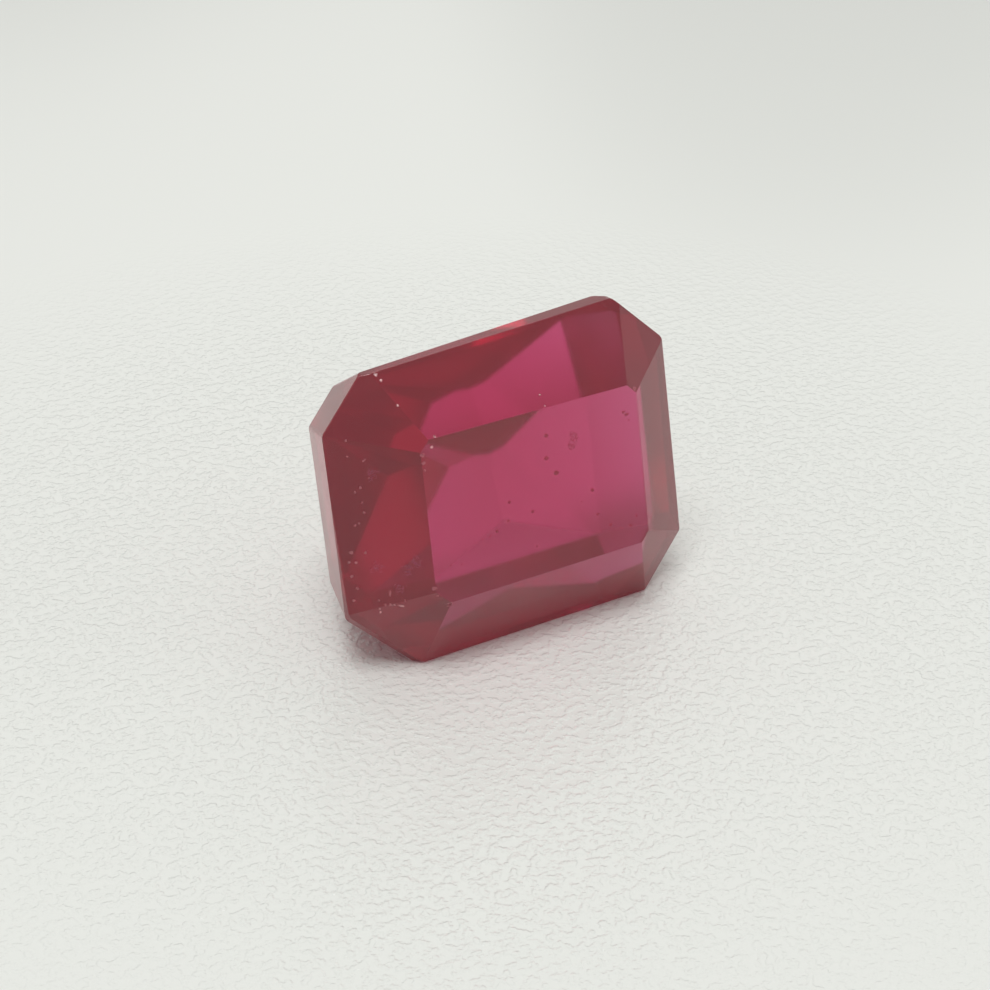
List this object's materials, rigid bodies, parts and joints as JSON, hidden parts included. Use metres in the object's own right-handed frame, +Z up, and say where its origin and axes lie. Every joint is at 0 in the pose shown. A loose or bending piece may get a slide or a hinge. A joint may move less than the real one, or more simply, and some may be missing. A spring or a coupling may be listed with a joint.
{
  "type": "emerald-cut ruby gemstone",
  "caption": "Loose emerald-cut ruby lying on its long side: a clear red step-cut stone with a wide crown and a deep stepped pavilion, to display or to set in jewellery.",
  "frame": {"origin": "on the surface the stone lies on, under the middle of its bounding box", "axes": "+Z up from the resting facet; +X along the stone's long sides; the table faces -Y and leans back 15 degrees from upright"},
  "size_m": [0.0096, 0.0058, 0.0074],
  "materials": {
    "ruby": "polished, see-through, deep pinkish red with fine inclusions"
  },
  "bodies": {
    "root": {"ruby": "ruby"}
  },
  "joints": []
}
